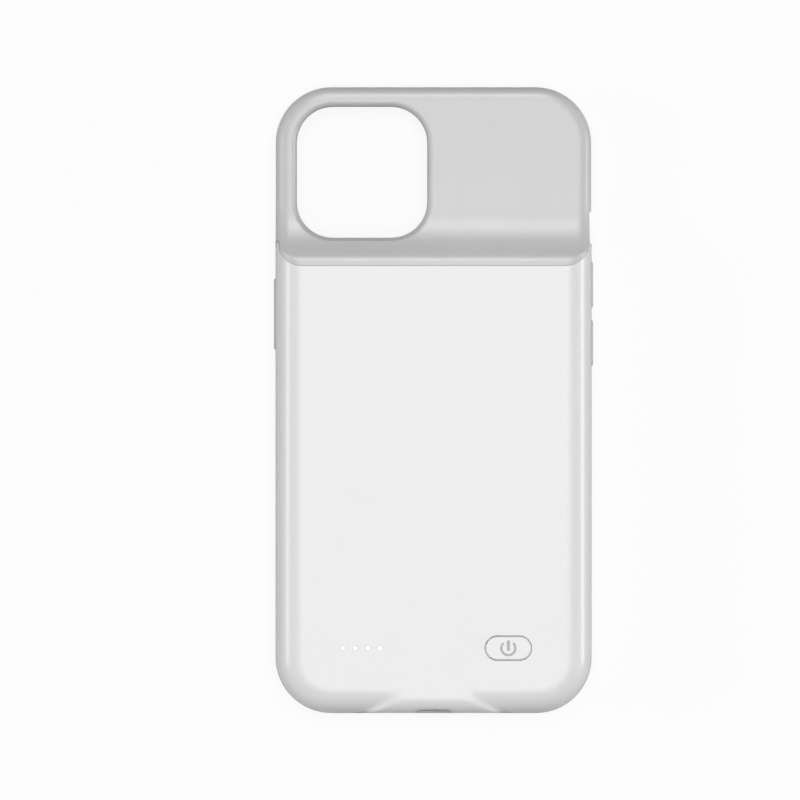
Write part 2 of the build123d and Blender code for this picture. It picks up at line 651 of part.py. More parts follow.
with BuildPart() as lead_negative:
    add(battery_lead(-LEAD_X))
lead_negative.part.label = "lead_negative"
export_step(lead_negative.part, "parts/lead_negative.step")

# Main circuit board
with BuildPart() as main_board:
    with BuildSketch(Plane.XY.offset(BOARD_Z)) as outline:
        with Locations((0, (BOARD_TOP_Y + BOARD_END) / 2)):
            Rectangle(BOARD_WIDTH, BOARD_LENGTH)
        fillet(outline.vertices().group_by(Axis.Y)[0], BOARD_CORNER)
        with Locations((0, BOARD_END)):
            Rectangle(SOCKET_WIDTH + 2 * BOARD_TAB_MARGIN, 2 * BOARD_TAB)
    extrude(amount=BOARD_DEPTH)
    small_rounds(SCREW_DIAMETER + 2 * SEAT_GAP, SCREW_SPOTS, BOARD_Z, BOARD_TOP, Mode.SUBTRACT)
main_board.part.label = "main_board"
export_step(main_board.part, "parts/main_board.step")

# Screws that hold the board
with BuildPart() as board_screws:
    head_z = BOARD_TOP + SCREW_HEAD_DEPTH
    small_rounds(SCREW_DIAMETER, SCREW_SPOTS, SCREW_TIP, BOARD_TOP)
    small_rounds(SCREW_HEAD, SCREW_SPOTS, BOARD_TOP, head_z)
    with Locations(*[(x, y, head_z) for x, y in SCREW_SPOTS]):
        Box(SCREW_HEAD, SCREW_SLOT, SCREW_HEAD_DEPTH, mode=Mode.SUBTRACT)
board_screws.part.label = "board_screws"
export_step(board_screws.part, "parts/board_screws.step")

# Charge socket: steel shell, insulator with its tongue, and contacts
SOCKET_PLANE = Plane((0, SOCKET_MOUTH, SOCKET_Z), x_dir=(1, 0, 0), z_dir=(0, -1, 0))
SOCKET_BORE = (SOCKET_WIDTH - 2 * SOCKET_WALL, SOCKET_HEIGHT - 2 * SOCKET_WALL)
with BuildPart() as socket_shell:
    with BuildSketch(SOCKET_PLANE):
        SlotOverall(SOCKET_WIDTH, SOCKET_HEIGHT)
        SlotOverall(*SOCKET_BORE, mode=Mode.SUBTRACT)
    extrude(amount=-SOCKET_LENGTH)
socket_shell.part.label = "socket_shell"
export_step(socket_shell.part, "parts/socket_shell.step")

with BuildPart() as socket_tongue:
    with BuildSketch(SOCKET_PLANE.offset(-SOCKET_LENGTH)):
        SlotOverall(*SOCKET_BORE)
    extrude(amount=SOCKET_STOP)
    low = (-TONGUE_WIDTH / 2, SOCKET_MOUTH + TONGUE_SETBACK, SOCKET_Z - TONGUE_DEPTH / 2)
    block(low, (TONGUE_WIDTH / 2, SOCKET_BACK, SOCKET_Z + TONGUE_DEPTH / 2))
socket_tongue.part.label = "socket_tongue"
export_step(socket_tongue.part, "parts/socket_tongue.step")

with BuildPart() as socket_contacts:
    for side in (-1, 1):
        level = SOCKET_Z + side * (TONGUE_DEPTH + CONTACT_DEPTH) / 2
        middle = SOCKET_MOUTH + TONGUE_SETBACK + CONTACT_SETBACK + CONTACT_LENGTH / 2
        with Locations((0, middle, level)):
            with GridLocations(CONTACT_PITCH, 1, CONTACT_COUNT, 1):
                Box(CONTACT_WIDTH, CONTACT_LENGTH, CONTACT_DEPTH)
socket_contacts.part.label = "socket_contacts"
export_step(socket_contacts.part, "parts/socket_contacts.step")

# Chips and passive parts of the main board
with BuildPart() as control_chips:
    with Locations((CHARGE_CHIP_X, TOP_ROW_Y, BOARD_TOP)):
        Box(*CHARGE_CHIP, align=STANDING)
    with Locations((GAUGE_CHIP_X, LOW_ROW_Y, BOARD_TOP)):
        Box(*GAUGE_CHIP, align=STANDING)
    with Locations((PORT_CHIP_X, LOW_ROW_Y, BOARD_TOP)):
        Box(*PORT_CHIP, align=STANDING)
control_chips.part.label = "control_chips"
export_step(control_chips.part, "parts/control_chips.step")

with BuildPart() as boost_inductor:
    with Locations((INDUCTOR_X, TOP_ROW_Y, BOARD_TOP)):
        Box(*INDUCTOR, align=STANDING)
    chamfer(boost_inductor.edges().filter_by(Axis.Z), length=INDUCTOR_BEVEL)
boost_inductor.part.label = "boost_inductor"
export_step(boost_inductor.part, "parts/boost_inductor.step")

with BuildPart() as board_capacitors:
    with Locations(*[(x, y, BOARD_TOP) for x, y in CAPACITOR_SPOTS]):
        Box(*CAPACITOR, align=STANDING)
board_capacitors.part.label = "board_capacitors"
export_step(board_capacitors.part, "parts/board_capacitors.step")

# Charge lights and the guide that brings their light to the cover
with BuildPart() as indicator_leds:
    with Locations(*[(x, y, BOARD_TOP) for x, y in LIGHT_SPOTS]):
        Box(LED_WIDTH, LED_LENGTH, LED_HEIGHT, align=STANDING)
indicator_leds.part.label = "indicator_leds"
export_step(indicator_leds.part, "parts/indicator_leds.step")

with BuildPart() as light_guide:
    with Locations((LIGHT_X, CONTROL_Y, CEILING_Z - SEAT_GAP - GUIDE_DEPTH)):
        Box(LIGHT_COUNT * LIGHT_PITCH, GUIDE_WIDTH, GUIDE_DEPTH, align=STANDING)
    small_rounds(LIGHT_DIAMETER, LIGHT_SPOTS, BOARD_TOP + LED_HEIGHT + SLIDE_GAP, COVER_Z)
light_guide.part.label = "light_guide"
export_step(light_guide.part, "parts/light_guide.step")

# Push switch under the power button
with BuildPart() as tact_switch:
    with Locations((BUTTON_X, CONTROL_Y, BOARD_TOP)):
        Box(SWITCH_SIZE, SWITCH_SIZE, SWITCH_HEIGHT, align=STANDING)
    bore = PLUNGER_DIAMETER + 2 * RIB_GAP
    foot = PLUNGER_FOOT - BUTTON_TRAVEL - SEAT_GAP
    small_rounds(bore, BUTTON_SPOT, foot, PLUNGER_TOP, Mode.SUBTRACT)
tact_switch.part.label = "tact_switch"
export_step(tact_switch.part, "parts/tact_switch.step")

with BuildPart() as switch_plunger:
    small_rounds(PLUNGER_DIAMETER, BUTTON_SPOT, PLUNGER_FOOT, PLUNGER_TOP)
switch_plunger.part.label = "switch_plunger"
export_step(switch_plunger.part, "parts/switch_plunger.step")

# Power button: a pill with a flange behind the cover and a stem on the switch
with BuildPart() as power_button:
    flange_top = CEILING_Z - SEAT_GAP
    flange_foot = flange_top - BUTTON_FLANGE
    with BuildSketch(Plane.XY.offset(flange_foot)):
        with Locations((BUTTON_X, CONTROL_Y)):
            SlotOverall(BUTTON_LENGTH, BUTTON_WIDTH)
    extrude(amount=COVER_Z + BUTTON_RAISE - flange_foot)
    chamfer(power_button.faces().sort_by(Axis.Z)[-1].edges(), length=BUTTON_BEVEL)
    with BuildSketch(Plane.XY.offset(flange_foot)):
        with Locations((BUTTON_X, CONTROL_Y)):
            Rectangle(BUTTON_LENGTH + 2 * BUTTON_LEDGE, BUTTON_WIDTH + 2 * BUTTON_LEDGE)
    extrude(amount=BUTTON_FLANGE)
    small_rounds(PLUNGER_DIAMETER + 2 * SLIDE_GAP, BUTTON_SPOT, PLUNGER_TOP, flange_foot)
power_button.part.label = "power_button"
export_step(power_button.part, "parts/power_button.step")

# Plug block in the bottom wall, with the tab that enters the phone
with BuildPart() as plug_housing:
    half = PLUG_BLOCK_WIDTH / 2
    block((-half, PLUG_MID + SEAT_GAP, PLUG_FLOOR + SEAT_GAP), (half, POCKET_END, SEAM_Z - SEAT_GAP))
    with BuildSketch(Plane.XZ.offset(-POCKET_END)):
        with Locations((0, PLUG_Z)):
            RectangleRounded(PLUG_WIDTH + 2 * SEAT_GAP, PLUG_DEPTH + 2 * SEAT_GAP, PLUG_EDGE)
    extrude(amount=PLUG_ROOT + SEAT_GAP, mode=Mode.SUBTRACT)
plug_housing.part.label = "plug_housing"
export_step(plug_housing.part, "parts/plug_housing.step")

with BuildPart() as plug_board:
    half = PLUG_BOARD_WIDTH / 2
    block((-half, PLUG_BACK + SEAT_GAP, PLUG_FLOOR + SEAT_GAP), (half, PLUG_MID, SEAM_Z - SEAT_GAP))
plug_board.part.label = "plug_board"
export_step(plug_board.part, "parts/plug_board.step")

with BuildPart() as plug_tab:
    with BuildSketch(Plane.XZ.offset(PLUG_ROOT - POCKET_END)):
        with Locations((0, PLUG_Z)):
            RectangleRounded(PLUG_WIDTH, PLUG_DEPTH, PLUG_EDGE)
    extrude(amount=-PLUG_ROOT - PLUG_LENGTH)
    tip = plug_tab.faces().sort_by(Axis.Y)[-1]
    chamfer(tip.edges(), length=PLUG_TIP)
plug_tab.part.label = "plug_tab"
export_step(plug_tab.part, "parts/plug_tab.step")

with BuildPart() as plug_contacts:
    for side in (-1, 1):
        level = PLUG_Z + side * (PLUG_DEPTH + CONTACT_DEPTH) / 2
        with Locations((0, POCKET_END + PLUG_PIN_REACH, level)):
            with GridLocations(PLUG_PITCH, 1, PLUG_PINS, 1):
                Box(PLUG_PIN_WIDTH, PLUG_PIN_LENGTH, CONTACT_DEPTH)
plug_contacts.part.label = "plug_contacts"
export_step(plug_contacts.part, "parts/plug_contacts.step")

# Flat cable from the plug's board up to the main board
with BuildPart() as flex_cable:
    y = (PLUG_BACK + PLUG_MID) / 2
    foot_z = SEAM_Z - SEAT_GAP
    end = BOARD_END + FLEX_OVERLAP
    outer = (y - FLEX_DEPTH / 2, BOARD_Z)
    inner = (y + FLEX_DEPTH / 2, BOARD_Z - FLEX_DEPTH)
    with BuildSketch(Plane.YZ) as ribbon:
        with BuildLine():
            outside = FilletPolyline((outer[0], foot_z), outer, (end, outer[1]), radius=FLEX_BEND + FLEX_DEPTH)
            inside = FilletPolyline((inner[0], foot_z), inner, (end, inner[1]), radius=FLEX_BEND)
            Line(outside @ 0, inside @ 0)
            Line(outside @ 1, inside @ 1)
        make_face()
    extrude(amount=FLEX_WIDTH / 2, both=True)
flex_cable.part.label = "flex_cable"
export_step(flex_cable.part, "parts/flex_cable.step")
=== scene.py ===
# %% [markdown]
# # A battery charging case, dressed in Blender
# The case is a soft bumper that a phone slides into, with a hard white cover on its back. Under the cover
# lie a flat cell and a small board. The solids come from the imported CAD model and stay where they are:
# this lesson gives them light, a camera and finishes, and adds the fine print that is too thin for CAD.

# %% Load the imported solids
import json

import bpy
import numpy as np
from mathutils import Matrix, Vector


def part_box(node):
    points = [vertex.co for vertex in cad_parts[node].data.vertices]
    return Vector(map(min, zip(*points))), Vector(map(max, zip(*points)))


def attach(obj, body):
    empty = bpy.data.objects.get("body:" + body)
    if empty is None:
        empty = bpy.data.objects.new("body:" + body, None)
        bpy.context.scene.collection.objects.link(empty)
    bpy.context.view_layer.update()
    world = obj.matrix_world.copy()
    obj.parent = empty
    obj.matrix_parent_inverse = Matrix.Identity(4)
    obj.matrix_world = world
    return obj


MM = 0.001
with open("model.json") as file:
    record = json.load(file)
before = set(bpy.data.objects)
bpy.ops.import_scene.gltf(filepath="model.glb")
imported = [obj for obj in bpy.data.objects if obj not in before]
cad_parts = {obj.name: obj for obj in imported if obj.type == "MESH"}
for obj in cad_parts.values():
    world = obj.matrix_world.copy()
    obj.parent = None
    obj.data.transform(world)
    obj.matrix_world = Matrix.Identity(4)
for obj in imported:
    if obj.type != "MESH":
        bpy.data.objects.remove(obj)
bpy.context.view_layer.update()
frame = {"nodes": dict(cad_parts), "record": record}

# %% [markdown]
# ## Shader sums written as Python
# A finish is a small sum over the surface: a noise times a depth, a mask that is 1 on a line and 0 beside
# it. Node by node that is long to read, so one class wraps a socket and lets `1 - mask` or `noise * 0.2`
# add its Math nodes. Every other node comes from one method, `node`, that sets a node up and links it.

# %% A socket that can be added and multiplied
class Wire:
    """One output socket of a node tree.
    Sums, products and quotients of wires add Math nodes to that tree."""

    def __init__(self, tree, socket=None):
        self.tree = tree
        self.socket = socket

    def node(self, kind, settings=None, values=None, output=0):
        """Adds a node of this kind, sets it, then fills its sockets with values or with links."""
        made = self.tree.nodes.new(kind)
        for name, value in (settings or {}).items():
            setattr(made, name, value)
        for name, value in (values or {}).items():
            if isinstance(value, Wire):
                self.tree.links.new(value.socket, made.inputs[name])
            else:
                made.inputs[name].default_value = value
        return Wire(self.tree, made.outputs[output] if len(made.outputs) else None)

    def math(self, operation, *others):
        values = dict(enumerate((self, *others)))
        return self.node("ShaderNodeMath", {"operation": operation}, values)

    def swapped(self, operation, other):
        return self.node("ShaderNodeMath", {"operation": operation}, {0: other, 1: self})

    def __add__(self, other):
        return self.math("ADD", other)

    def __radd__(self, other):
        return self.swapped("ADD", other)

    def __sub__(self, other):
        return self.math("SUBTRACT", other)

    def __rsub__(self, other):
        return self.swapped("SUBTRACT", other)

    def __mul__(self, other):
        return self.math("MULTIPLY", other)

    def __rmul__(self, other):
        return self.swapped("MULTIPLY", other)

    def __truediv__(self, other):
        return self.math("DIVIDE", other)

    def __rtruediv__(self, other):
        return self.swapped("DIVIDE", other)

    def __abs__(self):
        return self.math("ABSOLUTE")

    def over(self, limit):
        return self.math("GREATER_THAN", limit)

    def under(self, limit):
        return self.math("LESS_THAN", limit)

    def repeat(self, pitch):
        """Runs from -0.5 to 0.5 over each `pitch`, with 0 in the middle, and starts again."""
        return (self / pitch).math("FRACT") - 0.5

    def ramp(self, low, high, start=0.0, end=1.0):
        """Goes smoothly from start, where this value is low, to end, where it is high."""
        values = {"Value": self, "From Min": low, "From Max": high, "To Min": start, "To Max": end}
        return self.node("ShaderNodeMapRange", {"interpolation_type": "SMOOTHSTEP"}, values)


print("wires ready")

# %% [markdown]
# ## Patterns that every finish shares
# Real plastic, foil and metal are never one flat colour. Moulds are eroded by sparks, foil is dimpled, and
# handling changes the gloss by a few per cent. Each pattern below reads Object coordinates, in metres, so
# that a grain of 0.3 mm is 0.3 mm on every piece, and it stays put when the button moves. From here on, the
# sizes, depths and heights of a finish are in millimetres.

# %% Places and noises
def place(wire):
    """The object's own coordinates, as a vector and as three separate numbers in millimetres."""
    spot = wire.node("ShaderNodeTexCoord", output="Object")
    apart = wire.node("ShaderNodeSeparateXYZ", values={"Vector": spot}).socket.node
    return spot, [Wire(wire.tree, socket) / MM for socket in apart.outputs]


def away(across, along):
    """Distance from the middle in plan: the root of the sum of the squares."""
    return (across * across + along * along).math("SQRT")


def grain(spot, size, detail=2.0, stretch=(1.0, 1.0, 1.0)):
    """Noise from 0 to 1 whose lumps are `size` across, drawn out along an axis where `stretch` is small."""
    drawn = spot.node("ShaderNodeMapping", values={"Vector": spot, "Scale": stretch})
    values = {"Vector": drawn, "Scale": 1 / (size * MM), "Detail": detail}
    return spot.node("ShaderNodeTexNoise", values=values)


def cells(spot, size):
    """Distance to the nearest of many scattered points `size` apart, from 0 to about 1."""
    return spot.node("ShaderNodeTexVoronoi", values={"Vector": spot, "Scale": 1 / (size * MM)})


print("noises ready")

# %% Numbers, colours and relief
EDGE_SAMPLES = 8


def between(share, low, high):
    """A number that is `low` where the share is 0 and `high` where it is 1."""
    return low + (high - low) * share


def blend(share, first, second):
    """A colour that is `first` where the share is 0 and `second` where it is 1."""
    mixed = share.node("ShaderNodeMix", {"data_type": "RGBA"}, {"Factor": share}).socket.node
    for name, colour in (("A", first), ("B", second)):
        sockets = [s for s in mixed.inputs if s.name == name and s.type == "RGBA"]
        sockets[0].default_value = (*colour, 1.0)
    return Wire(share.tree, [s for s in mixed.outputs if s.type == "RGBA"][0])


def shaded(colour, factor):
    """The same colour, darker or lighter by a factor, and never over full white."""
    return [min(1.0, channel * factor) for channel in colour]


def mottled(spot, colour, size, spread):
    """One colour that drifts lighter and darker by `spread`, in patches `size` across."""
    return blend(grain(spot, size), shaded(colour, 1 - spread), shaded(colour, 1 + spread))


def relief(height, depth, soft=0.0):
    """Turns a height from 0 to 1 into a bumped normal, `depth` from low to high.
    Edges within `soft` are shaded as if they were rounded."""
    values = {"Height": height, "Distance": depth * MM, "Strength": 1.0}
    if soft:
        values["Normal"] = height.node("ShaderNodeBevel", {"samples": EDGE_SAMPLES}, {"Radius": soft * MM})
    return height.node("ShaderNodeBump", values=values)


def finish(name, paint, **fixed):
    """A material whose Principled shader takes what `paint` works out, and fixed numbers for the rest."""
    material = bpy.data.materials.new(name)
    material.use_nodes = True
    tree = material.node_tree
    shader = tree.nodes["Principled BSDF"]
    for label, value in {**fixed, **paint(*place(Wire(tree)))}.items():
        socket = shader.inputs[label.replace("_", " ")]
        if isinstance(value, Wire):
            tree.links.new(value.socket, socket)
        else:
            socket.default_value = value
    return material


print("patterns ready, edges rounded with", EDGE_SAMPLES, "samples")

# %% [markdown]
# ## The soft bumper
# The bumper is moulded from a grey elastomer in a mould that was eroded matt, so it has a fine even grain
# and a soft gloss. The two mould halves meet halfway up the side and leave a hair-fine ridge there. The
# grain is noise and the ridge is a mask on height. Edges are shaded rounder than they are, as elastomer
# never fills a sharp corner, but less so up at the crest, where the skin is thin.

# %% Grey elastomer
BUMPER_GREY = (0.62, 0.62, 0.623)
BUMPER_GRAIN_RISE = 0.25     # height of the grain, as a share of the ridge's
BUMPER_GRAIN_ROUGH = 0.08    # what the grain adds to the roughness
PARTING_Z = 5.15             # height of the line where the mould halves meet
PARTING_REACH = 0.14         # distance from that line at which the ridge has faded out
LOW_SOFT = 1.0               # how far edges are rounded below the rise to the crest
CREST_SOFT = 0.2             # and how far above it
RISE_Z = (11.5, 13.5)


def bumper_paint(spot, xyz):
    fine = grain(spot, size=0.32, detail=3.0)
    handled = grain(spot, size=9.0)
    ridge = 1 - abs(xyz[2] - PARTING_Z).ramp(0.0, PARTING_REACH)
    soft = xyz[2].ramp(*RISE_Z, LOW_SOFT, CREST_SOFT)
    return {"Base Color": mottled(spot, BUMPER_GREY, size=5.0, spread=0.02),
            "Roughness": between(handled, low=0.3, high=0.38) + BUMPER_GRAIN_ROUGH * fine,
            "Normal": relief(fine * BUMPER_GRAIN_RISE + ridge, depth=0.03, soft=soft)}


soft_grey = finish("soft_grey_elastomer", bumper_paint)
print("bumper:", soft_grey.name)

# %% [markdown]
# ## The white cover and its button
# The cover is a hard moulding with a satin skin, brighter and a little glossier than the bumper. The button
# comes from the same resin and is a shade lighter. Round the hood of the charge socket the mould was blended
# by hand, so there the shading rounds the edges over more than a millimetre.

# %% Satin white resin
COVER_WHITE = (0.84, 0.84, 0.84)
BUTTON_WHITE = (0.85, 0.85, 0.85)
COVER_GRAIN_ROUGH = 0.04     # what the grain adds to the roughness
EDGE_SOFT = 0.12             # how far edges are rounded over most of the cover
HOOD_SOFT = 1.6              # and how far round the hood
HOOD_Y = (-71.5, -69.5)


def white_paint(colour):
    def paint(spot, xyz):
        fine = grain(spot, size=0.25)
        handled = grain(spot, size=14.0)
        soft = xyz[1].ramp(*HOOD_Y, HOOD_SOFT, EDGE_SOFT)
        return {"Base Color": mottled(spot, colour, size=9.0, spread=0.004),
                "Roughness": between(handled, low=0.28, high=0.31) + COVER_GRAIN_ROUGH * fine,
                "Normal": relief(fine, depth=0.002, soft=soft)}
    return paint


satin_white = finish("satin_white_resin", white_paint(COVER_WHITE))
button_white = finish("button_white_resin", white_paint(BUTTON_WHITE))
print("cover:", satin_white.name, button_white.name)

# %% [markdown]
# ## The plate behind the phone
# The inner plate is a plain grey moulding. Where the ejector pins pushed it out of its mould, shallow rings
# are left in rows. A ring is the set of points at one distance from the middle of a repeating rectangle, so
# one mask draws all of them. The housing of the plug comes from the same resin.

# %% Grey moulding with ejector marks
PLATE_GREY = (0.60, 0.60, 0.61)
PLATE_GRAIN_RISE = 0.2       # height of the grain, as a share of a ring's depth
PIN_PITCH = (21.0, 29.0)
PIN_RADIUS = 1.9
PIN_REACH = 0.2              # distance from a ring at which it has faded out
PIN_SHADE = 0.85             # how much darker the grey of a ring is
PIN_SHARE = 0.5              # and how much of it shows


def ejector_rings(xyz):
    """1 on thin rings that repeat every PIN_PITCH, fading to 0 beside them."""
    across = xyz[0].repeat(PIN_PITCH[0]) * PIN_PITCH[0]
    along = xyz[1].repeat(PIN_PITCH[1]) * PIN_PITCH[1]
    return 1 - abs(away(across, along) - PIN_RADIUS).ramp(0.0, PIN_REACH)


def plate_paint(spot, xyz):
    fine = grain(spot, size=0.3, detail=3.0)
    rings = ejector_rings(xyz)
    return {"Base Color": blend(rings * PIN_SHARE, PLATE_GREY, shaded(PLATE_GREY, PIN_SHADE)),
            "Roughness": between(grain(spot, size=8.0), low=0.48, high=0.58),
            "Normal": relief(fine * PLATE_GRAIN_RISE - rings, depth=0.03)}


plate_grey = finish("plate_grey_moulding", plate_paint)
plug_grey = finish("plug_grey_moulding", plate_paint)
print("plate:", plate_grey.name, plug_grey.name)

# %% [markdown]
# ## Windows for the charge lights
# One frosted clear piece carries light from the four lamps on the board to four round windows in the cover.
# Its ends glow a little, so the emission is masked by height: only the last part, in the cover, is lit.

# %% Frosted light guide
GUIDE_WHITE = (0.93, 0.93, 0.93)
UNLIT = (0.0, 0.0, 0.0)
LIT = (1.0, 1.0, 1.0)
GLOW_Z = (15.4, 16.1)
GLOW_STRENGTH = 0.22


def guide_paint(spot, xyz):
    return {"Base Color": mottled(spot, GUIDE_WHITE, size=0.8, spread=0.02),
            "Roughness": between(grain(spot, size=0.4), low=0.22, high=0.32),
            "Emission Color": blend(xyz[2].ramp(*GLOW_Z), UNLIT, LIT)}


guide_clear = finish("frosted_guide", guide_paint, Emission_Strength=GLOW_STRENGTH)
print("guide:", guide_clear.name)

# %% [markdown]
# ## The cell and what is glued to it
# The cell is a pouch of aluminium laminate, dimpled where it was pressed and slightly crinkled. Nickel
# strips are rolled, so their grain runs one way. Foam is open cells, with painted shade in the hollows, and
# tape is a thin ribbed film. All of them are noises or repeats, some of them drawn out, so no picture is
# needed.

# %% Foil and rolled metal
FOIL_SILVER = (0.72, 0.72, 0.74)
FOIL_METAL = 0.9
DIMPLE_RISE = 0.3            # height of the dimples, as a share of the creases'
NICKEL_GREY = (0.66, 0.64, 0.60)
ROLLED_LONG_Y = (1.0, 0.04, 1.0)
ROLLED_SPREAD = 0.16         # what the rolling lines add to the roughness


def foil_paint(spot, xyz):
    dimples = cells(spot, size=1.1)
    creases = grain(spot, size=6.0, detail=4.0)
    return {"Base Color": mottled(spot, FOIL_SILVER, size=3.0, spread=0.06),
            "Roughness": between(creases, low=0.28, high=0.46),
            "Normal": relief(dimples * DIMPLE_RISE + creases, depth=0.08)}


def rolled_paint(colour, size=0.12, stretch=ROLLED_LONG_Y, rough=0.26):
    def paint(spot, xyz):
        lines = grain(spot, size, stretch=stretch)
        return {"Base Color": mottled(spot, colour, size=2.0, spread=0.05),
                "Roughness": rough + ROLLED_SPREAD * lines,
                "Normal": relief(lines, depth=0.006)}
    return paint


cell_foil = finish("pouch_foil", foil_paint, Metallic=FOIL_METAL)
nickel_strip = finish("rolled_nickel", rolled_paint(NICKEL_GREY), Metallic=1.0)
print("cell:", cell_foil.name, nickel_strip.name)

# %% Foam and tape
# The second foam colour is painted shade, darker in the hollows between the lumps of the cells.
FOAM_LUMP = (0.09, 0.09, 0.095)
FOAM_HOLLOW_SHADE = (0.025, 0.025, 0.028)
TAPE_BLACK = (0.035, 0.035, 0.036)
TAPE_RIB = (0.06, 0.06, 0.06)
TAPE_PITCH = 0.5


def foam_paint(spot, xyz):
    pores = cells(spot, size=0.55)
    # Painted shade: the colour goes darker towards the hollows of the cells, where the relief sinks.
    return {"Base Color": blend(pores, FOAM_LUMP, FOAM_HOLLOW_SHADE),
            "Roughness": between(pores, low=0.85, high=0.95),
            "Normal": relief(1 - pores, depth=0.25)}


def tape_paint(spot, xyz):
    ribs = abs(xyz[0].repeat(TAPE_PITCH)) * 2
    return {"Base Color": blend(ribs, TAPE_BLACK, TAPE_RIB),
            "Roughness": between(grain(spot, size=3.0), low=0.35, high=0.5),
            "Normal": relief(ribs, depth=0.02)}


black_foam = finish("open_foam", foam_paint)
black_tape = finish("ribbed_tape", tape_paint)
print("round the cell:", black_foam.name, black_tape.name)

# %% [markdown]
# ## Boards, tracks and the parts on them
# A board is green solder mask over copper. Fine tracks show through as lighter lines: in each square of a
# coarse grid a random number picks whether they run across or along. Chips are black resin, the inductor is
# pressed powder, and the little capacitors are fired ceramic.

# %% Solder mask with tracks
MASK_GREEN = (0.018, 0.12, 0.05)
TRACK_GREEN = (0.05, 0.24, 0.09)
TRACK_PITCH = 0.55
TRACK_HALF = 0.17            # half the width of a track, as a share of the pitch
TRACK_SQUARE = 2.6
TRACK_FILLED = 0.92          # share of the squares that have tracks
TRACK_TURNED = 0.5           # squares whose number is over this run across


def tracks(spot, xyz):
    """1 on copper lines TRACK_PITCH apart that turn from square to square of a TRACK_SQUARE grid."""
    square = (TRACK_SQUARE * MM, TRACK_SQUARE * MM, 1.0)
    grid = spot.node("ShaderNodeVectorMath", {"operation": "SNAP"}, {0: spot, 1: square})
    toss = spot.node("ShaderNodeTexWhiteNoise", values={"Vector": grid})
    lines = [abs(xyz[axis].repeat(TRACK_PITCH)).under(TRACK_HALF) for axis in (0, 1)]
    turn = toss.over(TRACK_TURNED)
    return (lines[0] * turn + lines[1] * (1 - turn)) * toss.under(TRACK_FILLED)


def board_paint(spot, xyz):
    copper = tracks(spot, xyz)
    return {"Base Color": blend(copper, MASK_GREEN, TRACK_GREEN),
            "Roughness": between(grain(spot, size=2.0), low=0.3, high=0.42),
            "Normal": relief(copper, depth=0.03)}


board_green = finish("green_solder_mask", board_paint, Coat_Weight=0.3, Coat_Roughness=0.15)
print("board:", board_green.name)

# %% Chips, powder, ceramic and lamps
CHIP_BLACK = (0.022, 0.022, 0.024)
SOCKET_BLACK = (0.022, 0.022, 0.022)
POWDER_GREY = (0.10, 0.10, 0.105)
CERAMIC_TAN = (0.42, 0.30, 0.19)
PHOSPHOR_YELLOW = (0.93, 0.82, 0.42)
RESIN_CLEAR = (0.92, 0.91, 0.86)
PRESSED_SPREAD = 0.12        # what the patches add to the roughness
PRESSED_PATCH = 3            # size of a patch, in specks


def pressed_paint(colour, size, spread, rough, depth):
    def paint(spot, xyz):
        specks = cells(spot, size)
        return {"Base Color": blend(specks, shaded(colour, 1 - spread), shaded(colour, 1 + spread)),
                "Roughness": rough + PRESSED_SPREAD * grain(spot, size * PRESSED_PATCH),
                "Normal": relief(specks, depth)}
    return paint


def lamp_paint(spot, xyz):
    return {"Base Color": blend(cells(spot, size=0.7), PHOSPHOR_YELLOW, RESIN_CLEAR),
            "Roughness": between(grain(spot, size=0.5), low=0.12, high=0.22)}


chip_skin = pressed_paint(CHIP_BLACK, size=0.2, spread=0.25, rough=0.5, depth=0.01)
socket_skin = pressed_paint(SOCKET_BLACK, size=0.3, spread=0.2, rough=0.38, depth=0.008)
powder_skin = pressed_paint(POWDER_GREY, size=0.35, spread=0.35, rough=0.6, depth=0.03)
ceramic_skin = pressed_paint(CERAMIC_TAN, size=0.3, spread=0.12, rough=0.35, depth=0.01)
chip_black = finish("chip_resin_black", chip_skin)
socket_black = finish("socket_resin_black", socket_skin)
powder_grey = finish("pressed_powder", powder_skin)
ceramic_tan = finish("fired_ceramic", ceramic_skin)
lamp_resin = finish("lamp_resin", lamp_paint)
print("small parts:", chip_black.name, socket_black.name, powder_grey.name, ceramic_tan.name, lamp_resin.name)

# %% [markdown]
# ## Metals, leads and the flex
# The socket and the plug are stamped steel, brushed along their length, with gold on the contacts. The two
# leads are sleeved in rubber, and the flex is amber film with copper lines that run its whole length. The
# metals are the rolled finish of the nickel strips again, with other colours and directions.

# %% Steel and gold
SHELL_STEEL = (0.62, 0.62, 0.63)
SWITCH_STEEL = (0.60, 0.60, 0.61)
PLUG_STEEL = (0.70, 0.69, 0.67)
CONTACT_GOLD = (0.83, 0.62, 0.25)
ROLLED_LONG_X = (0.05, 1.0, 1.0)
ROLLED_SHORT_Y = (1.0, 0.1, 1.0)

shell_lines = rolled_paint(SHELL_STEEL)
switch_lines = rolled_paint(SWITCH_STEEL, size=0.15, stretch=ROLLED_LONG_X)
plug_lines = rolled_paint(PLUG_STEEL, size=0.1, stretch=ROLLED_LONG_X, rough=0.2)
gold_lines = rolled_paint(CONTACT_GOLD, size=0.1, stretch=ROLLED_SHORT_Y, rough=0.16)
brushed_steel = finish("brushed_steel", shell_lines, Metallic=1.0)
switch_steel = finish("stamped_switch_steel", switch_lines, Metallic=1.0)
plug_steel = finish("plated_plug", plug_lines, Metallic=1.0)
contact_gold = finish("gold_plate", gold_lines, Metallic=1.0)
print("metals:", brushed_steel.name, switch_steel.name, plug_steel.name, contact_gold.name)

# %% Rubber sleeves and film
SLEEVE_RED = (0.55, 0.02, 0.02)
SLEEVE_BLACK = (0.016, 0.016, 0.016)
FILM_AMBER = (0.45, 0.22, 0.05)
FILM_COPPER = (0.62, 0.30, 0.10)
FLEX_PITCH = 0.9
FLEX_HALF = 0.24             # half the width of a copper line, as a share of the pitch


def sleeve_paint(colour):
    def paint(spot, xyz):
        skin = grain(spot, size=0.4)
        return {"Base Color": mottled(spot, colour, size=1.5, spread=0.12),
                "Roughness": between(skin, low=0.42, high=0.56),
                "Normal": relief(skin, depth=0.012)}
    return paint


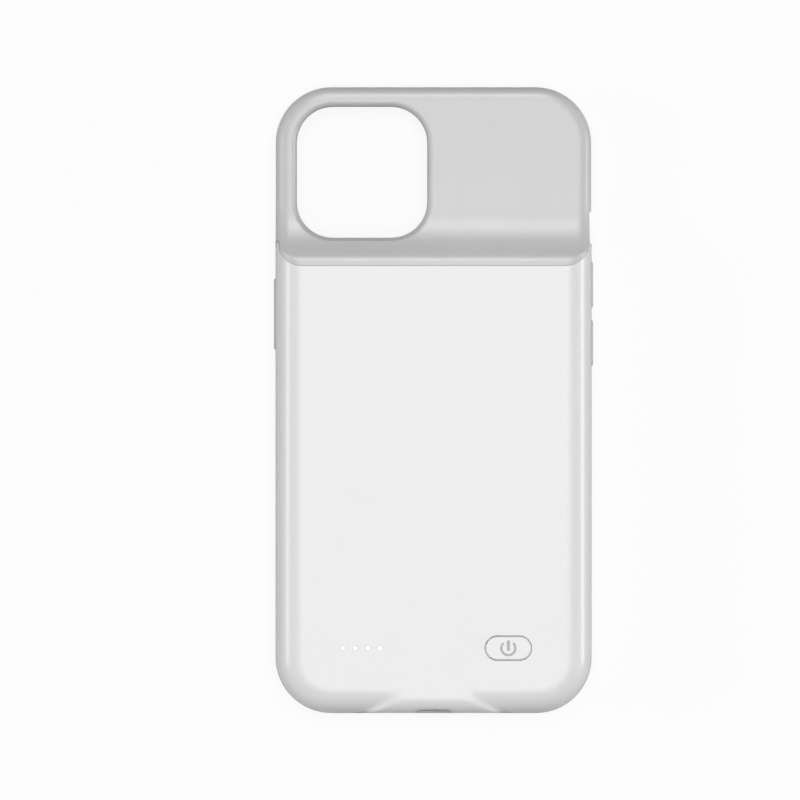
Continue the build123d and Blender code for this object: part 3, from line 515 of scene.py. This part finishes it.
def film_paint(spot, xyz):
    lines = abs(xyz[0].repeat(FLEX_PITCH)).under(FLEX_HALF)
    return {"Base Color": blend(lines, FILM_AMBER, FILM_COPPER),
            "Roughness": between(grain(spot, size=2.0), low=0.24, high=0.34),
            "Normal": relief(lines, depth=0.02)}


red_sleeve = finish("red_sleeve", sleeve_paint(SLEEVE_RED))
black_sleeve = finish("black_sleeve", sleeve_paint(SLEEVE_BLACK))
amber_film = finish("amber_film", film_paint)
print("leads and flex:", red_sleeve.name, black_sleeve.name, amber_film.name)

# %% [markdown]
# ## Every solid gets its finish
# The record names a material slot for each solid. A table from slot to finish keeps the two in step: a new
# solid with a known slot is dressed without another line.

# %% Slot to finish
FINISHES = {
    "bumper_soft": soft_grey, "cover_shell": satin_white, "button_shell": button_white,
    "plate_plastic": plate_grey, "plug_plastic": plug_grey, "guide_clear": guide_clear,
    "cell_foil": cell_foil, "nickel": nickel_strip, "tape": black_tape, "foam": black_foam,
    "board_resin": board_green, "chip_resin": chip_black, "ferrite": powder_grey, "ceramic": ceramic_tan,
    "led_resin": lamp_resin, "insulator": socket_black, "steel": brushed_steel, "switch_metal": switch_steel,
    "plug_metal": plug_steel, "gold": contact_gold, "lead_red": red_sleeve, "lead_black": black_sleeve,
    "flex_film": amber_film,
}
for part in frame["record"]["subparts"]:
    solid = frame["nodes"][part["node"]]
    for slot in solid.material_slots:
        slot.material = FINISHES[part["material_slot"]]

# %% [markdown]
# ## The symbol on the button
# The button carries the common on and off sign: an open ring with a bar in its gap. On the real button it
# is a print of a few hundredths of a millimetre. A flat picture would need an image, so it is a real, very
# thin bead: a low crowned profile carried along an arc and along a line, narrowed to a tip at both ends.

# %% A printed stroke
STROKE_RISE = 0.03 * MM
STROKE_SINK = 0.02 * MM
STROKE_COLUMNS = 13
STROKE_FOOT = 0.9            # half-width of the flat underside, as a share of the bead's
STROKE_TIP = 0.02            # width that is left at the tips, as a share of the bead's


def printed_stroke(path, half):
    """Vertices and faces of a low bead along a path of points, `half` of its width to each side.
    Across: half-width times cosine, and height rising as the square root of the sine, from 0 to 180 degrees,
    then flat underneath. Along: the width shrinks as a half circle over the last half-width at each end."""
    step = np.diff(path, axis=0)
    length = np.concatenate([[0.0], np.cumsum(np.linalg.norm(step, axis=1))])
    ahead = np.gradient(path, axis=0)
    ahead = ahead / np.linalg.norm(ahead, axis=1)[:, None]
    aside = np.stack([-ahead[:, 1], ahead[:, 0], np.zeros(len(path))], axis=1)
    to_end = np.minimum(length, length[-1] - length)
    narrow = np.sqrt(np.clip(1 - (1 - np.minimum(to_end / half, 1)) ** 2, 0, 1))
    narrow = np.maximum(narrow, STROKE_TIP)
    turn = np.linspace(0, np.pi, STROKE_COLUMNS)
    profile_side = np.append(np.cos(turn), [-STROKE_FOOT, STROKE_FOOT])
    profile_up = np.append(np.sqrt(np.sin(turn).clip(0)) * STROKE_RISE, [-STROKE_SINK, -STROKE_SINK])
    sideways = narrow[:, None] * profile_side * half
    spots = path[:, None, :] + aside[:, None, :] * sideways[:, :, None]
    spots[:, :, 2] += profile_up
    rows, columns = spots.shape[:2]
    here = np.arange(rows * columns).reshape(rows, columns)
    beside = np.roll(here, -1, axis=1)
    quads = np.stack([here[:-1], here[1:], beside[1:], beside[:-1]], axis=2).reshape(-1, 4)
    caps = [here[0].tolist(), here[-1][::-1].tolist()]
    return spots.reshape(-1, 3), quads.tolist() + caps


print("stroke height in mm:", STROKE_RISE / MM)

# %% Ring and bar
INK_GREY = (0.47, 0.47, 0.475)
RING_RADIUS = 1.72 * MM
RING_HALF = 0.29 * MM
RING_GAP = np.radians(41.0)
RING_ROWS = 97
BAR_TOP = 1.96 * MM
BAR_FOOT = -0.7 * MM
BAR_HALF = 0.37 * MM
BAR_ROWS = 41


def ink_paint(spot, xyz):
    return {"Base Color": mottled(spot, INK_GREY, size=0.5, spread=0.05),
            "Roughness": between(grain(spot, size=0.3), low=0.45, high=0.55)}


def printed_on_button(name, path, half, ink):
    """A stroke as a mesh object at the origin that rides on the button."""
    vertices, faces = printed_stroke(path, half)
    mesh = bpy.data.meshes.new(name)
    mesh.from_pydata(vertices.tolist(), [], faces)
    mesh.polygons.foreach_set("use_smooth", np.ones(len(mesh.polygons), dtype=bool))
    mesh.materials.append(ink)
    mesh.validate()
    piece = bpy.data.objects.new(name, mesh)
    bpy.context.scene.collection.objects.link(piece)
    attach(piece, "button")
    return piece


grey_ink = finish("grey_ink", ink_paint)
button_low, button_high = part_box("power_button")
middle = (np.array(button_low) + np.array(button_high)) / 2
middle[2] = button_high.z
sweep = np.linspace(np.pi / 2 + RING_GAP, 2.5 * np.pi - RING_GAP, RING_ROWS)
ring_path = middle + RING_RADIUS * np.stack([np.cos(sweep), np.sin(sweep), 0 * sweep], axis=1)
bar_path = middle + np.linspace(BAR_TOP, BAR_FOOT, BAR_ROWS)[:, None] * np.array([0.0, 1.0, 0.0])
ring = printed_on_button("button_symbol_ring", ring_path, RING_HALF, grey_ink)
bar = printed_on_button("button_symbol_bar", bar_path, BAR_HALF, grey_ink)
print("symbol:", len(ring.data.polygons), "and", len(bar.data.polygons), "faces")

# %% [markdown]
# ## Floor and sky
# The case lies on its front lip with its back up, on white paper. A lamp strong enough to burn the paper
# white would burn the cover too, so the floor is white by itself to the camera and in reflections, with a
# share of a matt floor that takes the shadow. That share fades further out, so that no horizon shows in low
# views. To the light that bounces, floor and sky are dull, which keeps the sides of the case darker.

# %% White floor
FLOOR_SIZE = 4.0
FLOOR_DROP = 0.1 * MM
PAPER_WHITE = (1.0, 1.0, 1.0, 1.0)
FLOOR_BOUNCE = (0.2, 0.2, 0.2, 1.0)
SHADOW_SHARE = 0.12
SHADOW_FADE = (120.0, 400.0)


def seen_directly(wire):
    """1 for rays from the camera and for the rays that mirrors and glass send on."""
    rays = wire.node("ShaderNodeLightPath").socket.node
    camera, glossy, through = [Wire(wire.tree, rays.outputs[name])
                               for name in ("Is Camera Ray", "Is Glossy Ray", "Is Transmission Ray")]
    return camera.math("MAXIMUM", glossy).math("MAXIMUM", through)


paper = bpy.data.materials.new("white_paper")
paper.use_nodes = True
paper.node_tree.nodes.clear()
start = Wire(paper.node_tree)
across, along = place(start)[1][:2]
seen = seen_directly(start)
near = 1 - away(across, along).ramp(*SHADOW_FADE)
dull = start.node("ShaderNodeBsdfDiffuse", values={"Color": FLOOR_BOUNCE})
pale = start.node("ShaderNodeBsdfDiffuse", values={"Color": PAPER_WHITE})
matt = start.node("ShaderNodeMixShader", values={0: seen, 1: dull, 2: pale})
white = start.node("ShaderNodeEmission", values={"Color": PAPER_WHITE, "Strength": 1.0})
share = seen * (1 - near * SHADOW_SHARE)
mixed = start.node("ShaderNodeMixShader", values={0: share, 1: matt, 2: white})
start.node("ShaderNodeOutputMaterial", values={"Surface": mixed})

corners = np.array([[-1, -1], [1, -1], [1, 1], [-1, 1]]) * FLOOR_SIZE / 2
floor_mesh = bpy.data.meshes.new("floor")
floor_mesh.from_pydata([(x, y, -FLOOR_DROP) for x, y in corners.tolist()], [], [(0, 1, 2, 3)])
floor_mesh.materials.append(paper)
floor = bpy.data.objects.new("floor", floor_mesh)
bpy.context.scene.collection.objects.link(floor)
print("floor at", -FLOOR_DROP / MM, "mm")

# %% Sky
SKY_GREY = (0.08, 0.08, 0.08)
SKY_WHITE = (1.0, 1.0, 1.0)

world = bpy.data.worlds.new("studio")
world.use_nodes = True
world.node_tree.nodes.clear()
start = Wire(world.node_tree)
sky = blend(seen_directly(start), SKY_GREY, SKY_WHITE)
glow = start.node("ShaderNodeBackground", values={"Color": sky, "Strength": 1.0})
start.node("ShaderNodeOutputWorld", values={"Surface": glow})
bpy.context.scene.world = world
print("sky:", SKY_GREY[0])

# %% [markdown]
# ## Lamps
# A broad lamp hangs above and lights the whole back evenly. The rest is drawn by highlights. Two strips at
# the sides draw a bright line along each rounded edge, while both ends of the case stay darker. A far lamp
# draws a soft band on the ramp. It shows in highlights only, as a studio's reflector does, so that it adds
# no light to matt surfaces.

# %% Four soft boxes
LAMPS = [
    # name, place in metres, width, length, watts, whether it lights matt surfaces too
    ("broad_lamp", (0.15, 0.1, 3.0), 1.9, 2.4, 67.5, True),
    ("far_lamp", (0.0, 2.1, 2.1), 1.4, 1.2, 56.0, False),
    ("left_strip", (-1.9, 0.0, 0.75), 0.3, 0.8, 9.0, True),
    ("right_strip", (1.9, 0.0, 0.16), 0.3, 0.8, 10.5, True),
]


def hang_lamp(name, hook, width, length, watts, matt_too):
    """A rectangular lamp at a point, turned to face the middle of the case."""
    lamp = bpy.data.lights.new(name, "AREA")
    lamp.shape = "RECTANGLE"
    lamp.size = width
    lamp.size_y = length
    lamp.energy = watts
    hung = bpy.data.objects.new(name, lamp)
    bpy.context.scene.collection.objects.link(hung)
    hung.visible_diffuse = matt_too
    hung.location = hook
    across, along, up = hook
    hung.rotation_euler = (-np.arctan2(along, np.hypot(across, up)), np.arctan2(across, up), 0.0)


for lamp in LAMPS:
    hang_lamp(*lamp)
print("lamps:", [lamp[0] for lamp in LAMPS])

# %% [markdown]
# ## Camera
# The picture is taken from straight above, and its edges hardly converge. A long lens does that: the camera
# stands as far off as the lens needs to take in FIELD at the height of AIM.

# %% A long lens
LENS = 200.0
SENSOR = 36.0
FIELD = 197.53 * MM
AIM = (-8.28 * MM, -0.05 * MM, 8.0 * MM)
FAR_CLIP = 20.0

camera_data = bpy.data.cameras.new("camera")
camera_data.lens = LENS
camera_data.sensor_width = SENSOR
camera_data.clip_end = FAR_CLIP
camera = bpy.data.objects.new("camera", camera_data)
bpy.context.scene.collection.objects.link(camera)
camera.location = (AIM[0], AIM[1], AIM[2] + FIELD * LENS / SENSOR)
bpy.context.scene.camera = camera
bpy.context.scene.view_settings.view_transform = "Standard"
print("camera height in m:", round(camera.location.z, 3))
